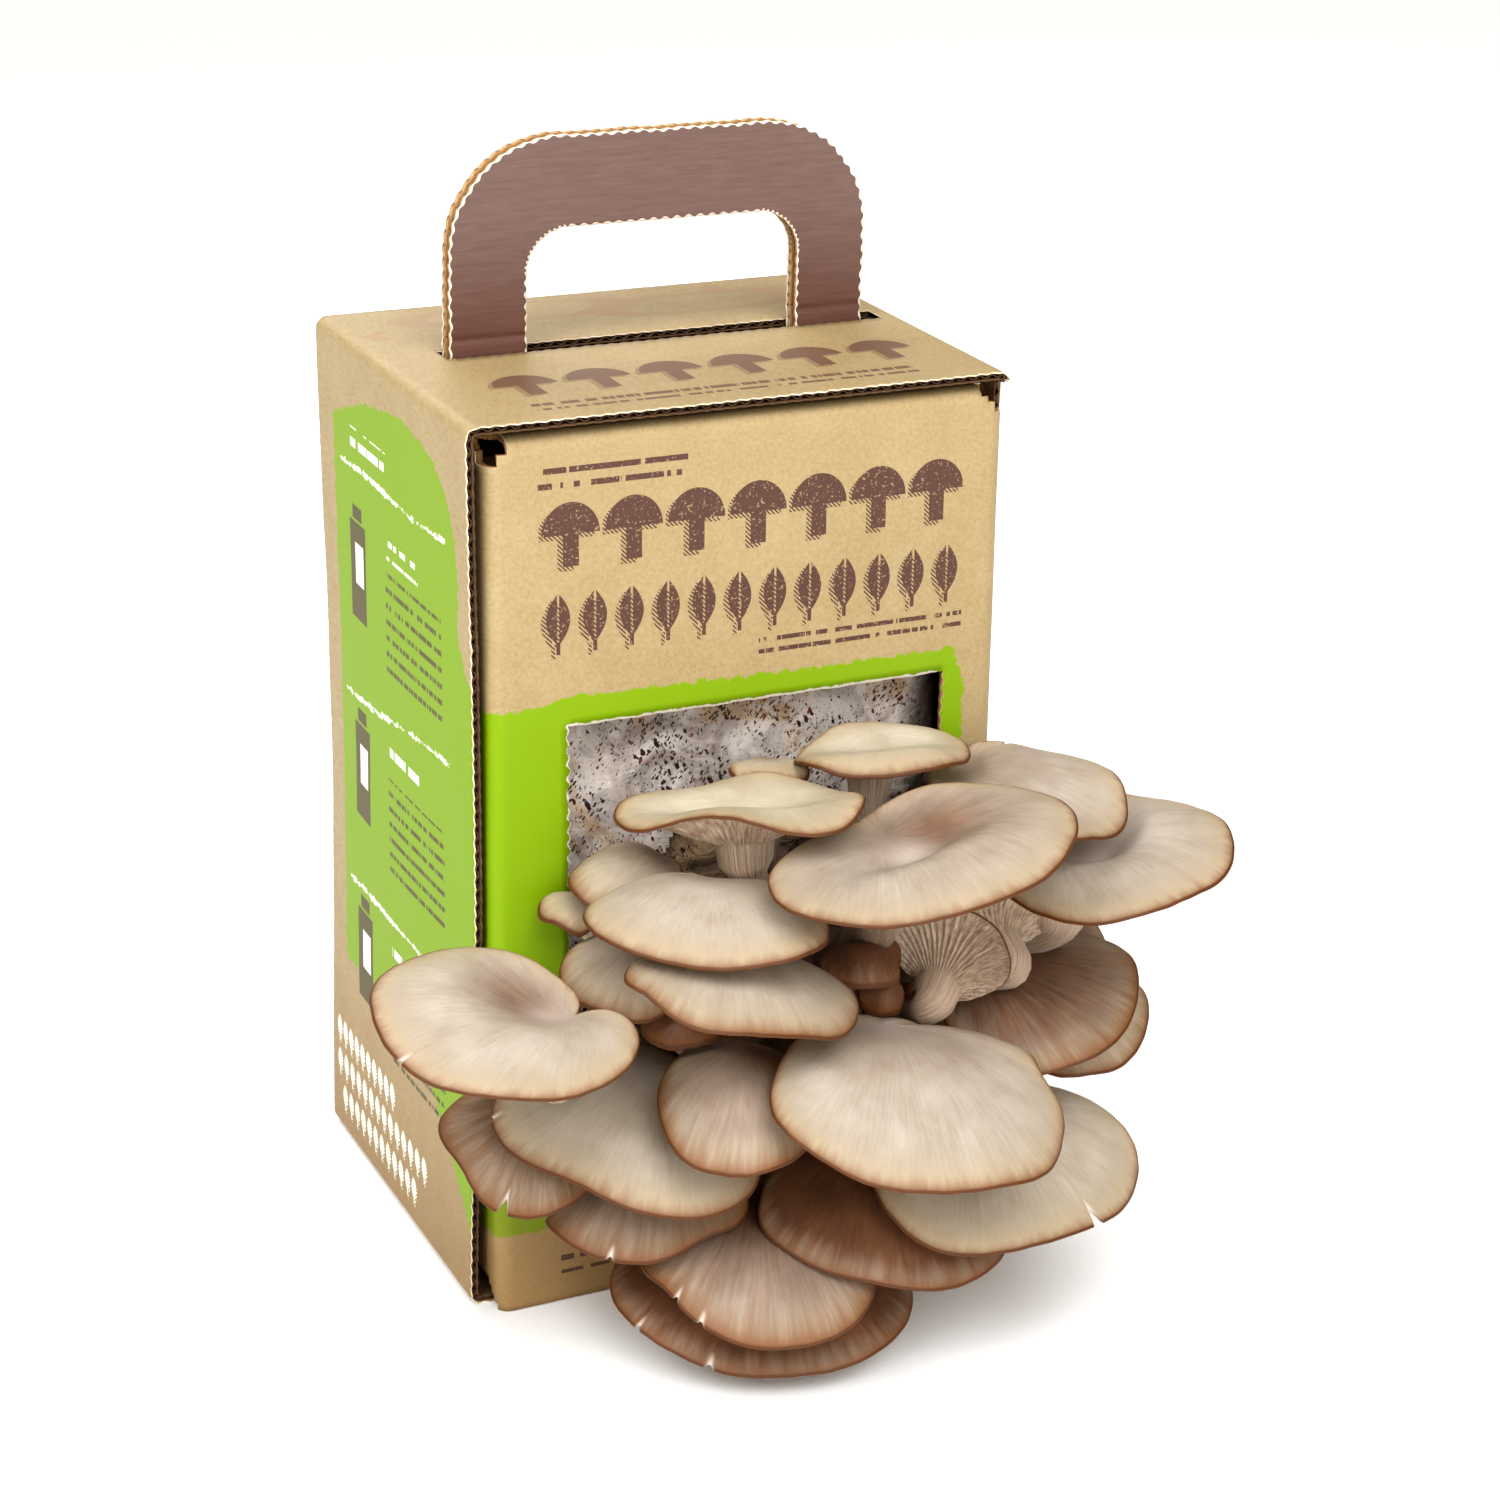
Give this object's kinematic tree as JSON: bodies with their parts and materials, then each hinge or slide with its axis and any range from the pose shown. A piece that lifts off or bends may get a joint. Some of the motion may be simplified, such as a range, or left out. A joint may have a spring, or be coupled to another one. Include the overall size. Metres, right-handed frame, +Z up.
{
  "type": "mushroom grow kit",
  "caption": "Oyster mushroom growing kit: a kraft carton with a carry handle and a front window, with a cluster of mushrooms growing out of the bag inside it.",
  "frame": {"origin": "middle of the underside of the carton, on the surface it stands on", "axes": "+Z up; -Y towards the window and the mushrooms; +X to the window's right, seen from the front"},
  "size_m": [0.225, 0.2096, 0.2825],
  "materials": {
    "kraft_board": "matte printed corrugated kraft board",
    "printed_board": "corrugated board with a dark brown print",
    "bag_film": "clear glossy film",
    "growing_medium": "coarse white and brown mycelium-bound medium",
    "pale_cap": "satin, pale tan cap with a browner rim",
    "brown_cap": "satin, brown cap",
    "cluster_flesh": "matte, off-white"
  },
  "bodies": {
    "root": {"back_panel": "kraft_board", "box_sleeve": "kraft_board", "cluster_base": "cluster_flesh", "front_panel": "kraft_board", "grow_bag": "bag_film", "handle_back": "printed_board", "handle_front": "printed_board", "mushroom_bud_centre": "brown_cap", "mushroom_bud_left": "brown_cap", "mushroom_crown": "pale_cap", "mushroom_crown_rear": "pale_cap", "mushroom_edge_lower": "pale_cap", "mushroom_edge_small": "pale_cap", "mushroom_edge_upper": "pale_cap", "mushroom_front_cleft": "pale_cap", "mushroom_front_large": "pale_cap", "mushroom_front_round": "pale_cap", "mushroom_gills_up": "brown_cap", "mushroom_left_lower": "pale_cap", "mushroom_left_split": "brown_cap", "mushroom_left_under": "pale_cap", "mushroom_left_wide": "pale_cap", "mushroom_low_dark": "brown_cap", "mushroom_low_light": "pale_cap", "mushroom_lowest": "brown_cap", "mushroom_right_dark": "brown_cap", "mushroom_right_small": "brown_cap", "mushroom_right_under": "brown_cap", "mushroom_right_wide": "pale_cap", "mushroom_shelf_lower": "pale_cap", "mushroom_shelf_upper": "pale_cap", "mushroom_window_right": "pale_cap", "mushroom_window_tiny": "pale_cap", "mushroom_window_wide": "pale_cap", "substrate_block": "growing_medium"}
  },
  "joints": []
}
